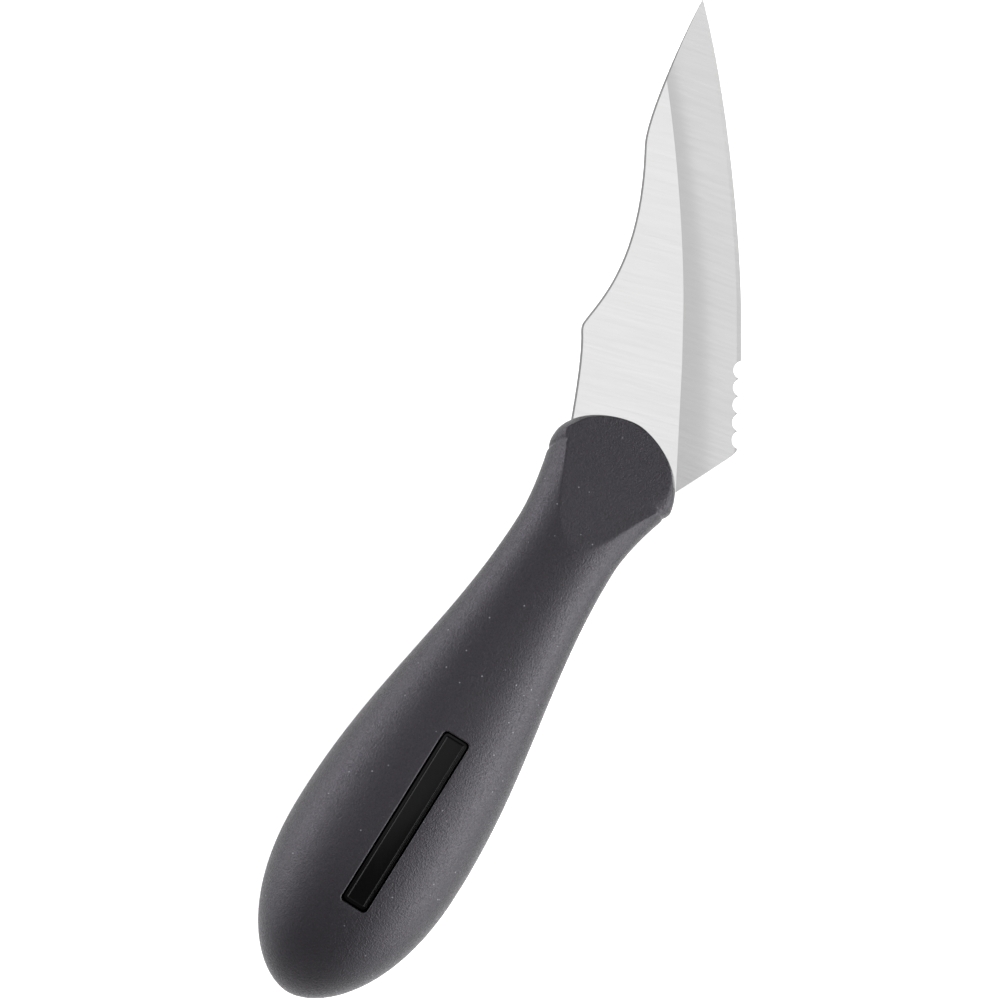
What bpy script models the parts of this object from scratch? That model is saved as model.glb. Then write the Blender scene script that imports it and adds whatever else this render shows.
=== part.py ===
"""Kitchen prep knife: a hollow-ground blade with a scalloped heel, in a soft grip moulded over a rigid core.

The knife lies on its side. Sizes are in metres. The handle's own frame has its origin at the butt, its first axis
along the handle towards the blade, its second from the cutting edge's side to the spine's side, and its third up
through the blade's flat side, with the blade's middle plane at zero. The empty named knife holds every piece and
puts the middle of the footprint at the world's origin, with the lowest point of the grip at height zero.
"""

import math

import bmesh
import bpy
from mathutils import Matrix, Vector
from mathutils.geometry import interpolate_bezier

MM = 0.001

# Lengths of the grip, from the butt to the front of its lip
BUTT_LENGTH = 30.1 * MM
TAPER_LENGTH = 61.0 * MM
FLARE_LENGTH = 13.5 * MM
NOSE_LENGTH = 10.25 * MM

# Widths and thicknesses of the grip where it swells and narrows
BULGE_WIDTH = 31.9 * MM
BULGE_THICKNESS = 23.6 * MM
WAIST_WIDTH = 19.05 * MM
WAIST_THICKNESS = 13.2 * MM
LIP_WIDTH = 24.2 * MM
LIP_THICKNESS = 15.8 * MM

# How the grip's outline runs between those places: how late it closes at an end, how full it is there,
# how it tapers and flares, and how full its cross-section is
BUTT_LATENESS = 2.2
BUTT_FULLNESS = 1.8
NOSE_LATENESS = 2.15
NOSE_FULLNESS = 1.65
TAPER_EASE = 1.04
WIDTH_FLARE_POWER = 1.65
THICKNESS_FLARE_EASE = 5.0
SECTION_FULLNESS = 2.4

# How far the lip's middle lies off the handle's axis, and how far the nose swings back
LIP_SHIFT = 0.32 * MM
NOSE_SHIFT = 0.5 * MM
NOSE_SHIFT_EASE = 3.0

# Crease behind the lip, which leans forward on its way up to the facet, most on the spine's side
CREASE_SETBACK = 1.3 * MM
CREASE_DEPTH = 0.18 * MM
CREASE_WIDTH = 1.4 * MM
CREASE_LEAN_SPINE = 3.1 * MM
CREASE_LEAN_EDGE = 1.0 * MM
CREASE_LEAN_LENGTH = 6.5 * MM

# Flat thumb facet on each side of the neck, which falls towards the lip and towards the cutting edge's side,
# and the round-over of the lip in front of it
FACET_LENGTH = 23.2 * MM
FACET_ANGLE = math.radians(9.4)
FACET_TILT = math.radians(2.8)
RIM_RADIUS = 0.5 * MM

# Window in the rubber, and how far the core's pad lies under the skin
WINDOW_LENGTH = 34.0 * MM
WINDOW_WIDTH = 5.1 * MM
WINDOW_CORNER = 0.8 * MM
WINDOW_PAST_BULGE = 6.0 * MM
WINDOW_SIDE_SHIFT = 1.7 * MM
WINDOW_DEPTH = 0.5 * MM

# Walls and clearances
GRIP_WALL = 2.6 * MM
CORE_WALL = 2.2 * MM
FIT_GAP = 0.3 * MM

# Rigid core, with two hollow bays behind the tang
CORE_SETBACK = 4.5 * MM
BAY_COUNT = 2
BAY_SETBACK = 8.0 * MM
RIB_THICKNESS = 2.0 * MM
PEG_BLOCK = 10.0 * MM
PEG_DIAMETER = 4.0 * MM
PEG_LENGTH = 3.0 * MM

# Blade's stock and how it stands in the handle
BLADE_THICKNESS = 1.5 * MM
BLADE_ANGLE = math.radians(32.0)
BLADE_DROP = 0.7 * MM

# Blade's outline, along and across the blade, from where its frame crosses the lip
TIP_ALONG = 82.2 * MM
TIP_DROP = 15.5 * MM
TIP_SPINE_SLOPE = 0.6
TIP_EDGE_SLOPE = 0.267
HUMP_ALONG = 56.8 * MM
HUMP_DROP = 5.46 * MM
HUMP_SLOPE = 0.03
KNEE_ALONG = 26.75 * MM
KNEE_RISE = 4.95 * MM
KNEE_SLOPE = 0.72
KNEE_LENGTH = 2.5 * MM
SHOULDER_RISE = 5.43 * MM
ROOT_ALONG = 7.0 * MM
ROOT_RISE = 7.65 * MM
ROOT_SLOPE = 0.16
EDGE_DROP = 22.1 * MM
EDGE_CURVE_ALONG = 27.8 * MM
HEEL_ALONG = 4.4 * MM
HEEL_DROP = 21.7 * MM
HEEL_CORNER = 1.4 * MM
HEEL_FOOT_ALONG = -4.2 * MM
HEEL_FOOT_DROP = 9.1 * MM

# How far in front of the grip the open flat begins, which lies against a magnetic rack
OPEN_FLAT_GAP = 0.5 * MM

# How far each end of a curve of the outline keeps its slope
TIP_SPINE_REACH = 3.1 * MM
HUMP_TIP_REACH = 5.5 * MM
HUMP_KNEE_REACH = 19.9 * MM
KNEE_HUMP_REACH = 3.6 * MM
SHOULDER_REACH = 5.0 * MM
TIP_EDGE_REACH = 15.3 * MM
EDGE_REACH = 13.6 * MM

# Grinding of the edge
GRIND_WIDTH_HEEL = 10.8 * MM
GRIND_WIDTH_TIP = 8.7 * MM
HOLLOW_DEPTH = 0.12 * MM
BEVEL_WIDTH = 0.8 * MM
BEVEL_THICKNESS = 0.22 * MM
EDGE_THICKNESS = 0.08 * MM
SERRATION_COUNT = 5
SERRATION_PITCH = 3.0 * MM
SERRATION_RADIUS = 1.6 * MM
SERRATION_OUTSET = 0.3 * MM
SERRATION_SETBACK = 2.0 * MM

# Tang, and the pins that lock it in the core
TANG_SETBACK = 3.5 * MM
TANG_LENGTH = 41.0 * MM
TANG_WIDTH = 10.0 * MM
TANG_CORNER = 3.0 * MM
TANG_FILLET = 2.5 * MM
PIN_DIAMETER = 3.0 * MM
PIN_LENGTH = 5.2 * MM
PIN_CHAMFER = 0.25 * MM
FRONT_PIN_SETBACK = 14.0 * MM
REAR_PIN_SETBACK = 33.0 * MM

# Fineness of the meshes
BUTT_STEPS = 8
TAPER_STEPS = 12
FLARE_STEPS = 7
NOSE_STEPS = 7
SIDE_STEPS = 6
TOP_STEPS = 3
CURVE_STEPS = 10
CORNER_STEPS = 5
CORNER_PULL = 0.55
FILLET_STEPS = 6
ROUND_SIDES = 20
GRIND_STEPS = 6
POLE_SHARE = 0.15
STEEPEST_FACET_EDGE = math.radians(80.0)
EDGE_HALVINGS = 30
SMOOTH_ANGLE = math.radians(35.0)

# Stations along the handle, worked out from the lengths
BULGE_AT = BUTT_LENGTH
WAIST_AT = BULGE_AT + TAPER_LENGTH
LIP_AT = WAIST_AT + FLARE_LENGTH
FRONT_AT = LIP_AT + NOSE_LENGTH
FACET_AT = FRONT_AT - FACET_LENGTH
OPEN_FLAT_AT = FRONT_AT + OPEN_FLAT_GAP
CREASE_AT = LIP_AT - CREASE_SETBACK
CORE_FRONT_AT = LIP_AT - CORE_SETBACK
TANG_FRONT_AT = LIP_AT - TANG_SETBACK
TANG_END_AT = TANG_FRONT_AT - TANG_LENGTH
BAYS_END_AT = TANG_END_AT - PEG_BLOCK
PEG_AT = TANG_END_AT - PEG_BLOCK / 2
PINS_AT = {
    "tang_pin_front": TANG_FRONT_AT - FRONT_PIN_SETBACK,
    "tang_pin_rear": TANG_FRONT_AT - REAR_PIN_SETBACK,
}


# Scene and materials


def clear_scene():
    for old in list(bpy.data.objects):
        bpy.data.objects.remove(old)


def finish(name, colour, roughness, metallic):
    """A plain material with one colour."""
    material = bpy.data.materials.new(name)
    material.use_nodes = True
    shader = material.node_tree.nodes["Principled BSDF"]
    shader.inputs["Base Color"].default_value = (*colour, 1.0)
    shader.inputs["Roughness"].default_value = roughness
    shader.inputs["Metallic"].default_value = metallic
    return material


def satin_steel():
    return finish("satin_steel", (0.72, 0.72, 0.72), 0.35, 1.0)


def pin_steel():
    return finish("pin_steel", (0.6, 0.6, 0.62), 0.3, 1.0)


def soft_rubber():
    return finish("soft_rubber", (0.035, 0.035, 0.038), 0.7, 0.0)


def gloss_black():
    return finish("gloss_black", (0.01, 0.01, 0.011), 0.2, 0.0)


# Building solids


def add_solid(name, points, faces, holder, material=None):
    """An object with this mesh, held by the knife's empty. Without a material it is a hidden helper."""
    mesh = bpy.data.meshes.new(name)
    shape = bmesh.new()
    corners = [shape.verts.new(point) for point in points]
    for face in faces:
        shape.faces.new([corners[index] for index in face])
    bmesh.ops.recalc_face_normals(shape, faces=shape.faces)
    shape.to_mesh(mesh)
    shape.free()
    solid = bpy.data.objects.new(name, mesh)
    bpy.context.scene.collection.objects.link(solid)
    solid.parent = holder
    if material is None:
        solid.hide_render = True
        solid.display_type = "WIRE"
    else:
        mesh.materials.append(material)
        mesh.shade_smooth()
        mesh.set_sharp_from_angle(angle=SMOOTH_ANGLE)
    return solid


def loft(name, rings, holder, material=None):
    """A closed skin through rings of equally many points, flat at both ends."""
    count = len(rings[0])
    points = [point for ring in rings for point in ring]
    faces = [tuple(range(count)), tuple(range(len(points) - count, len(points)))]
    for ring in range(len(rings) - 1):
        for side in range(count):
            here = ring * count + side
            beside = ring * count + (side + 1) % count
            faces.append((here, beside, beside + count, here + count))
    return add_solid(name, points, faces, holder, material)


def plate(name, outline, bottom, top, holder, material=None):
    """A flat outline given a thickness."""
    rings = [[(point.x, point.y, height) for point in outline] for height in (bottom, top)]
    return loft(name, rings, holder, material)


def split_across(solid, station):
    """Parts the faces of a solid at a station of the handle. Its form stays as it is."""
    shape = bmesh.new()
    shape.from_mesh(solid.data)
    everything = shape.verts[:] + shape.edges[:] + shape.faces[:]
    bmesh.ops.bisect_plane(shape, geom=everything, plane_co=(station, 0.0, 0.0), plane_no=(1.0, 0.0, 0.0))
    shape.to_mesh(solid.data)
    shape.free()


def combine(solid, helper, operation):
    """Cuts, joins or trims a solid by a helper."""
    modifier = solid.modifiers.new(helper.name, "BOOLEAN")
    modifier.operation = operation
    modifier.object = helper
    modifier.solver = "EXACT"


# Flat outlines


def circle(centre, diameter):
    """A regular outline that goes round a centre."""
    turns = [2 * math.pi * side / ROUND_SIDES for side in range(ROUND_SIDES)]
    return [centre + Vector((math.cos(turn), math.sin(turn))) * diameter / 2 for turn in turns]


def rounded_corner(before, corner, after, reach):
    """Points that replace a sharp corner by a curve."""
    start = corner + (before - corner).normalized() * reach
    end = corner + (after - corner).normalized() * reach
    knots = (start, start.lerp(corner, CORNER_PULL), end.lerp(corner, CORNER_PULL), end)
    return interpolate_bezier(*knots, CORNER_STEPS)


def rounded_rectangle(centre, length, width, corner_radius):
    """An outline along the handle with round corners."""
    corners = [
        centre + Vector((side_x * length / 2, side_y * width / 2))
        for side_x, side_y in ((1, 1), (-1, 1), (-1, -1), (1, -1))
    ]
    outline = []
    for index, corner in enumerate(corners):
        outline += rounded_corner(corners[index - 1], corner, corners[(index + 1) % 4], corner_radius)
    return outline


def grown(outline, gap):
    """The outline moved outwards by a gap on every side."""
    turning = sum(a.x * b.y - b.x * a.y for a, b in zip(outline, outline[1:] + outline[:1]))
    outwards = 1 if turning > 0 else -1
    moved = []
    for index, point in enumerate(outline):
        arriving = (point - outline[index - 1]).normalized()
        leaving = (outline[(index + 1) % len(outline)] - point).normalized()
        normal = Vector((arriving.y + leaving.y, -arriving.x - leaving.x)).normalized() * outwards
        facing = normal.dot(Vector((arriving.y, -arriving.x)) * outwards)
        moved.append(point + normal * gap / facing)
    return moved


# Grip's skin, which the core and every hollow inside follow at their own depth


def eased(start, end, share, ease):
    """A size that leaves one value and reaches the next without a kink."""
    return end + (start - end) * (1 + math.cos(math.pi * share**ease)) / 2


def closing(share, lateness, fullness):
    """How much of a size is left at a share of the way to the end where it closes."""
    return (1 - share**lateness) ** (1 / fullness)


def size_behind_waist(station, bulge, waist, depth):
    """Half the grip's width or thickness between the butt and the waist, at a depth under the skin."""
    if station < BULGE_AT:
        share = (BULGE_AT - station) / (BULGE_AT - depth)
        return (bulge / 2 - depth) * closing(share, BUTT_LATENESS, BUTT_FULLNESS)
    return eased(bulge, waist, (station - BULGE_AT) / TAPER_LENGTH, TAPER_EASE) / 2 - depth


def flare_share(station):
    """How far a station lies on the way from the waist to the lip."""
    return min(1.0, max(0.0, (station - WAIST_AT) / FLARE_LENGTH))


def crease(station):
    """Depth of the crease at a station."""
    return CREASE_DEPTH * max(0.0, 1 - abs(station - CREASE_AT) / (CREASE_WIDTH / 2))


def skin_half_width(station, depth):
    if station < WAIST_AT:
        return size_behind_waist(station, BULGE_WIDTH, WAIST_WIDTH, depth)
    width = WAIST_WIDTH + (LIP_WIDTH - WAIST_WIDTH) * flare_share(station) ** WIDTH_FLARE_POWER
    half = width / 2 - crease(station) - depth
    if station <= LIP_AT:
        return half
    return half * closing((station - LIP_AT) / NOSE_LENGTH, NOSE_LATENESS, NOSE_FULLNESS)


def skin_middle(station):
    """Where the skin's middle lies: off to the edge's side at the lip, and back again at the nose."""
    middle = -LIP_SHIFT * flare_share(station) ** WIDTH_FLARE_POWER
    if station > LIP_AT:
        middle += NOSE_SHIFT * (1 - (1 - (station - LIP_AT) / NOSE_LENGTH) ** NOSE_SHIFT_EASE)
    return middle


def skin_half_height(station, depth):
    if station < WAIST_AT:
        return size_behind_waist(station, BULGE_THICKNESS, WAIST_THICKNESS, depth)
    thickness = eased(WAIST_THICKNESS, LIP_THICKNESS, flare_share(station), THICKNESS_FLARE_EASE)
    return thickness / 2 - crease(station) - depth


def facet_height(station, across, depth):
    """Height of the thumb facet's plane, which dips round the lip at its very front."""
    height = WAIST_THICKNESS / 2 - depth
    height += math.tan(FACET_TILT) * across - math.tan(FACET_ANGLE) * (station - FACET_AT)
    into_rim = (station - FRONT_AT) / RIM_RADIUS + 1
    if into_rim > 0:
        height -= RIM_RADIUS * (1 - math.sqrt(1 - min(1.0, into_rim) ** 2))
    return height


def crease_lean(station, side, depth):
    """How far a ring of the outer skin leans forward at the facet's edge. The hollows inside stay square."""
    if station < WAIST_AT or depth > 0:
        return 0.0
    reach = CREASE_LEAN_SPINE if side > 0 else CREASE_LEAN_EDGE
    if station < CREASE_AT:
        share = (station - WAIST_AT) / (CREASE_AT - WAIST_AT)
        return reach * share * share * (3 - 2 * share)
    share = min(1.0, (station - CREASE_AT) / CREASE_LEAN_LENGTH)
    return reach * (1 - share * share * (3 - 2 * share))


def section_point(station, turn, side, depth):
    """A point of the full section before the facet is cut: across the handle, and height."""
    power = 2 / SECTION_FULLNESS
    across = skin_middle(station) + side * skin_half_width(station, depth) * math.cos(turn) ** power
    return across, skin_half_height(station, depth) * math.sin(turn) ** power


def facet_edge_turn(station, side, depth):
    """The turn round the section at which the facet cuts it."""
    leaned = station + crease_lean(station, side, depth)

    def above_facet(turn):
        across, height = section_point(station, turn, side, depth)
        return height > facet_height(leaned, across, depth)

    low = 0.0
    high = STEEPEST_FACET_EDGE
    if not above_facet(high):
        return high
    for _ in range(EDGE_HALVINGS):
        middle = (low + high) / 2
        if above_facet(middle):
            high = middle
        else:
            low = middle
    return high


def flank(station, side, depth):
    """Points of one side of the section, from the outline up to the facet's edge."""
    edge_turn = facet_edge_turn(station, side, depth)
    lean = crease_lean(station, side, depth)
    points = []
    for step in range(SIDE_STEPS + 1):
        share = step / SIDE_STEPS
        across, height = section_point(station, edge_turn * share, side, depth)
        points.append((station + lean * share, across, height))
    return points


def section_top(station, start, end, depth):
    """Points across the top of the section between the ends of its flanks, cut by the facet."""
    half_width = skin_half_width(station, depth)
    points = []
    for step in range(1, 2 * TOP_STEPS):
        share = step / (2 * TOP_STEPS)
        along = start[0] + (end[0] - start[0]) * share
        across = start[1] + (end[1] - start[1]) * share
        offset = abs(across - skin_middle(station)) / half_width
        full = skin_half_height(station, depth) * (1 - offset**SECTION_FULLNESS) ** (1 / SECTION_FULLNESS)
        points.append((along, across, min(full, facet_height(along, across, depth))))
    return points


def skin_ring(station, depth):
    """One closed ring of the skin, with a row of points where each edge of the facet runs."""
    spine_side = flank(station, 1, depth)
    edge_side = flank(station, -1, depth)
    upper = spine_side + section_top(station, spine_side[-1], edge_side[-1], depth) + edge_side[::-1]
    lower = [(x, y, -z) for x, y, z in reversed(upper[1:-1])]
    return upper + lower


def butt_stations(depth):
    """Stations round the butt, closer together where it closes."""
    radius = BULGE_AT - depth
    turns = [(step + POLE_SHARE) / (BUTT_STEPS + POLE_SHARE) * math.pi / 2 for step in range(BUTT_STEPS)]
    return [BULGE_AT - radius * math.cos(turn) for turn in turns]


def body_stations(front_at):
    """Stations from the bulge to the front of a body, with rings on both sides of the crease."""
    taper = [BULGE_AT + TAPER_LENGTH * step / TAPER_STEPS for step in range(TAPER_STEPS)]
    crease_from = CREASE_AT - CREASE_WIDTH / 2
    flare = [WAIST_AT + (crease_from - WAIST_AT) * step / FLARE_STEPS for step in range(FLARE_STEPS)]
    crease = [crease_from, CREASE_AT, CREASE_AT + CREASE_WIDTH / 2]
    turns = [math.pi / 2 * step / (NOSE_STEPS + POLE_SHARE) for step in range(NOSE_STEPS + 1)]
    nose = [LIP_AT + NOSE_LENGTH * math.sin(turn) for turn in turns]
    return [station for station in taper + flare + crease + nose if station < front_at - FIT_GAP]


def skin_body(name, depth, front_at, holder, material=None):
    """The grip's form at a depth under its skin, from the butt to a flat front."""
    stations = butt_stations(depth) + body_stations(front_at)
    if front_at < FRONT_AT:
        stations.append(front_at)
    return loft(name, [skin_ring(station, depth) for station in stations], holder, material)


# Blade's outline


def on_blade(along, across):
    """A point given in the blade's frame, placed in the handle's."""
    turn = Matrix.Rotation(BLADE_ANGLE, 2)
    return Vector((LIP_AT, -BLADE_DROP)) + turn @ Vector((along, across))


def outline_curve(start, start_slope, start_reach, end, end_slope, end_reach):
    """Points from start to end, given along and across the blade. A slope is the rise on the way to the handle."""
    leaving = (start[0] - start_reach, start[1] + start_reach * start_slope)
    arriving = (end[0] + end_reach, end[1] - end_reach * end_slope)
    knots = [on_blade(*point) for point in (start, leaving, arriving, end)]
    return interpolate_bezier(*knots, CURVE_STEPS)


def spine_outline():
    """From the tip over the hump, down the hollow of the spine and round the knee to the root."""
    tip = (TIP_ALONG, -TIP_DROP)
    hump = (HUMP_ALONG, -HUMP_DROP)
    knee = (KNEE_ALONG, KNEE_RISE)
    shoulder = (KNEE_ALONG - KNEE_LENGTH, SHOULDER_RISE)
    root = (ROOT_ALONG, ROOT_RISE)
    clip = outline_curve(tip, TIP_SPINE_SLOPE, TIP_SPINE_REACH, hump, HUMP_SLOPE, HUMP_TIP_REACH)
    hollow = outline_curve(hump, HUMP_SLOPE, HUMP_KNEE_REACH, knee, KNEE_SLOPE, KNEE_HUMP_REACH)
    bend = outline_curve(knee, KNEE_SLOPE, KNEE_LENGTH / 3, shoulder, 0.0, KNEE_LENGTH / 3)
    ramp = outline_curve(shoulder, 0.0, SHOULDER_REACH, root, ROOT_SLOPE, SHOULDER_REACH)
    return clip[:-1] + hollow[:-1] + bend[:-1] + ramp


def tang_outline(root, heel_foot):
    """From the blade's root round the tang to the foot of the heel."""
    side = TANG_WIDTH / 2
    spine_front = Vector((TANG_FRONT_AT, side))
    spine_end = Vector((TANG_END_AT, side))
    edge_end = Vector((TANG_END_AT, -side))
    edge_front = Vector((TANG_FRONT_AT, -side))
    inwards = Vector((TANG_FILLET, 0.0))
    outline = interpolate_bezier(root, root - inwards, spine_front + inwards, spine_front, FILLET_STEPS)[1:]
    outline += rounded_corner(spine_front, spine_end, edge_end, TANG_CORNER)
    outline += rounded_corner(spine_end, edge_end, edge_front, TANG_CORNER)
    outline += interpolate_bezier(edge_front, edge_front + inwards, heel_foot - inwards, heel_foot, FILLET_STEPS)
    return outline


def edge_outline():
    """From the heel along the straight stretch and up the belly to the tip, without the scallops."""
    tip = (TIP_ALONG, -TIP_DROP)
    belly = (EDGE_CURVE_ALONG, -EDGE_DROP)
    curve = outline_curve(tip, -TIP_EDGE_SLOPE, TIP_EDGE_REACH, belly, 0.0, EDGE_REACH)
    return [on_blade(HEEL_ALONG, -HEEL_DROP), serration_end()] + curve[::-1]


def serration_end():
    return on_blade(HEEL_ALONG + SERRATION_COUNT * SERRATION_PITCH, -EDGE_DROP)


def blade_outline():
    """The whole blank, blade and tang, before it is ground."""
    spine = spine_outline()
    heel_foot = on_blade(HEEL_FOOT_ALONG, -HEEL_FOOT_DROP)
    edge = edge_outline()
    heel = rounded_corner(heel_foot, edge[0], edge[1], HEEL_CORNER)
    return spine + tang_outline(spine[-1], heel_foot) + heel + edge[1:-1]


# Grinding and serrations


def ground_half_thickness(distance, width):
    """Half the blade's thickness at a distance from the edge, and the wheel's surface beyond the ground band."""
    bevel = BEVEL_THICKNESS / 2
    edge = EDGE_THICKNESS / 2
    if distance <= BEVEL_WIDTH:
        return edge + (bevel - edge) * distance / BEVEL_WIDTH
    share = (distance - BEVEL_WIDTH) / (width - BEVEL_WIDTH)
    return bevel + (BLADE_THICKNESS / 2 - bevel) * share - 4 * HOLLOW_DEPTH * share * (1 - share)


def grind_ring(foot, inwards, width, side):
    """The wheel's cross-section at one place on the edge, above the blade or below it."""
    shares = [step / GRIND_STEPS for step in range(1, GRIND_STEPS + 2)]
    distances = [-BEVEL_WIDTH, BEVEL_WIDTH]
    distances += [BEVEL_WIDTH + (width - BEVEL_WIDTH) * share for share in shares]
    ring = []
    for distance in distances:
        place = foot + inwards * distance
        ring.append((place.x, place.y, side * ground_half_thickness(distance, width)))
    for distance in (distances[-1], distances[0]):
        place = foot + inwards * distance
        ring.append((place.x, place.y, side * 2 * BLADE_THICKNESS))
    return ring


def grinding_wheel(name, side, holder):
    """The space that grinding takes from one side of the blank, following the edge."""
    line = edge_outline()
    past_heel = line[0] - (line[1] - line[0]).normalized() * GRIND_WIDTH_HEEL
    past_tip = line[-1] + (line[-1] - line[-2]).normalized() * 2 * BEVEL_WIDTH
    line = [past_heel] + line + [past_tip]
    whole = sum((b - a).length for a, b in zip(line, line[1:]))
    rings = []
    run = 0.0
    for index, foot in enumerate(line):
        before = line[max(0, index - 1)]
        after = line[min(len(line) - 1, index + 1)]
        run += (foot - before).length
        tangent = (after - before).normalized()
        inwards = Vector((-tangent.y, tangent.x))
        width = GRIND_WIDTH_HEEL + (GRIND_WIDTH_TIP - GRIND_WIDTH_HEEL) * run / whole
        rings.append(grind_ring(foot, inwards, width, side))
    return loft(name, rings, holder)


def scallops(holder):
    """Round cutters in a row along the straight edge, counted from the heel."""
    heel = edge_outline()[0]
    along = (serration_end() - heel).normalized()
    outset = Vector((along.y, -along.x)) * SERRATION_OUTSET
    cutters = []
    for number in range(SERRATION_COUNT):
        centre = heel + outset + along * (SERRATION_SETBACK + number * SERRATION_PITCH)
        outline = circle(centre, 2 * SERRATION_RADIUS)
        cutters.append(plate(f"scallop_{number + 1}", outline, -BLADE_THICKNESS, BLADE_THICKNESS, holder))
    return cutters


# Pieces


def pin_clearances(holder):
    """Round cutters for the pins' holes, with the fit's gap all round."""
    length = PIN_LENGTH / 2 + FIT_GAP
    return [
        plate(f"{name}_clearance", circle(Vector((at, 0.0)), PIN_DIAMETER + 2 * FIT_GAP), -length, length, holder)
        for name, at in PINS_AT.items()
    ]


def make_blade(holder, holes):
    half = BLADE_THICKNESS / 2
    blade = plate("blade", blade_outline(), -half, half, holder, satin_steel())
    split_across(blade, OPEN_FLAT_AT)
    wheels = [grinding_wheel("wheel_upper", 1, holder), grinding_wheel("wheel_lower", -1, holder)]
    for cutter in wheels + scallops(holder) + holes:
        combine(blade, cutter, "DIFFERENCE")


def make_pins(holder):
    steel = pin_steel()
    for name, at in PINS_AT.items():
        outline = circle(Vector((at, 0.0)), PIN_DIAMETER)
        pin = plate(name, outline, -PIN_LENGTH / 2, PIN_LENGTH / 2, holder, steel)
        chamfer = pin.modifiers.new("chamfer", "BEVEL")
        chamfer.width = PIN_CHAMFER
        chamfer.segments = 1


def core_bays(holder):
    """Hollows behind the tang, with ribs between them."""
    depth = GRIP_WALL + CORE_WALL
    pitch = (BAYS_END_AT - BAY_SETBACK + RIB_THICKNESS) / BAY_COUNT
    bays = []
    for number in range(BAY_COUNT):
        start = BAY_SETBACK + number * pitch
        length = pitch - RIB_THICKNESS
        rings = [skin_ring(start + length * step / TAPER_STEPS, depth) for step in range(TAPER_STEPS + 1)]
        bays.append(loft(f"bay_{number + 1}", rings, holder))
    return bays


def window_outline(gap):
    """The window's outline, or one that lies a gap inside it."""
    centre = Vector((BULGE_AT + WINDOW_PAST_BULGE, -WINDOW_SIDE_SHIFT))
    return rounded_rectangle(centre, WINDOW_LENGTH - 2 * gap, WINDOW_WIDTH - 2 * gap, WINDOW_CORNER)


def window_pad(holder):
    """The part of the core that rises into the window, with a top that follows the skin."""
    pad = plate("window_pad", window_outline(FIT_GAP), BLADE_THICKNESS, BULGE_THICKNESS, holder)
    combine(pad, skin_body("pad_skin", WINDOW_DEPTH, CORE_FRONT_AT, holder), "INTERSECT")
    return pad


def core_side_trim(name, side, holder):
    """A block over the half of the core that lies past the parting plane."""
    reach = Vector((FRONT_AT, BULGE_WIDTH))
    outline = [
        Vector((-BUTT_LENGTH, -reach.y)),
        Vector((reach.x, -reach.y)),
        reach,
        Vector((-BUTT_LENGTH, reach.y)),
    ]
    heights = sorted((side * FIT_GAP / 2, -side * BULGE_THICKNESS))
    return plate(name, outline, *heights, holder)


def make_core(holder, blade_clearance, holes):
    """Two half shells round the tang, parted in the blade's middle plane."""
    black = gloss_black()
    bays = core_bays(holder)
    peg_centre = Vector((PEG_AT, 0.0))
    peg = plate("peg", circle(peg_centre, PEG_DIAMETER), -PEG_LENGTH, PEG_LENGTH, holder)
    socket_size = PEG_DIAMETER + 2 * FIT_GAP
    socket_top = PEG_LENGTH + FIT_GAP
    socket = plate("socket", circle(peg_centre, socket_size), -socket_top, socket_top, holder)

    upper = skin_body("core_upper", GRIP_WALL, CORE_FRONT_AT, holder, black)
    combine(upper, core_side_trim("below_parting", 1, holder), "DIFFERENCE")
    combine(upper, window_pad(holder), "UNION")
    for cutter in bays + [blade_clearance, socket] + holes:
        combine(upper, cutter, "DIFFERENCE")

    lower = skin_body("core_lower", GRIP_WALL, CORE_FRONT_AT, holder, black)
    combine(lower, core_side_trim("above_parting", -1, holder), "DIFFERENCE")
    combine(lower, peg, "UNION")
    for cutter in bays + [blade_clearance] + holes:
        combine(lower, cutter, "DIFFERENCE")


def make_grip(holder, blade_clearance):
    """The rubber skin, hollow for the core, slotted for the blade and open at the window."""
    grip = skin_body("soft_grip", 0.0, FRONT_AT, holder, soft_rubber())
    cavity = skin_body("core_clearance", GRIP_WALL - FIT_GAP, CORE_FRONT_AT + FIT_GAP, holder)
    window = plate("window", window_outline(0.0), BLADE_THICKNESS, BULGE_THICKNESS, holder)
    for cutter in (cavity, blade_clearance, window):
        combine(grip, cutter, "DIFFERENCE")


def knife_place():
    """Where the butt of the handle lies, so that the footprint's middle is at the origin."""
    outline = blade_outline()
    reach = max(point.x for point in outline)
    spine_side = max(point.y for point in outline)
    edge_side = min([point.y for point in outline] + [-BULGE_WIDTH / 2])
    return Vector((-reach / 2, -(spine_side + edge_side) / 2, BULGE_THICKNESS / 2))


def main():
    clear_scene()
    knife = bpy.data.objects.new("knife", None)
    bpy.context.scene.collection.objects.link(knife)
    knife.location = knife_place()
    clear_half = BLADE_THICKNESS / 2 + FIT_GAP
    slot_outline = grown(blade_outline(), FIT_GAP)
    blade_clearance = plate("blade_clearance", slot_outline, -clear_half, clear_half, knife)
    holes = pin_clearances(knife)
    make_blade(knife, holes)
    make_pins(knife)
    make_core(knife, blade_clearance, holes)
    make_grip(knife, blade_clearance)


main()
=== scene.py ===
"""The looks of the kitchen prep knife: a soft black grip, a glossy panel in its side and a ground blade.

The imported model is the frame. The grip, the blade and the upper core's panel are made again here from the
same sizes, with finer surfaces, and each piece stands for its solid. Sizes are in metres. The handle's own
frame has its origin at the butt, at half the grip's thickness. Its first axis runs along the handle towards
the blade, its second towards the spine's side, and its third up.
"""

import math

import bmesh
import bpy
from mathutils import Matrix, Vector
from mathutils.geometry import interpolate_bezier


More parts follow.
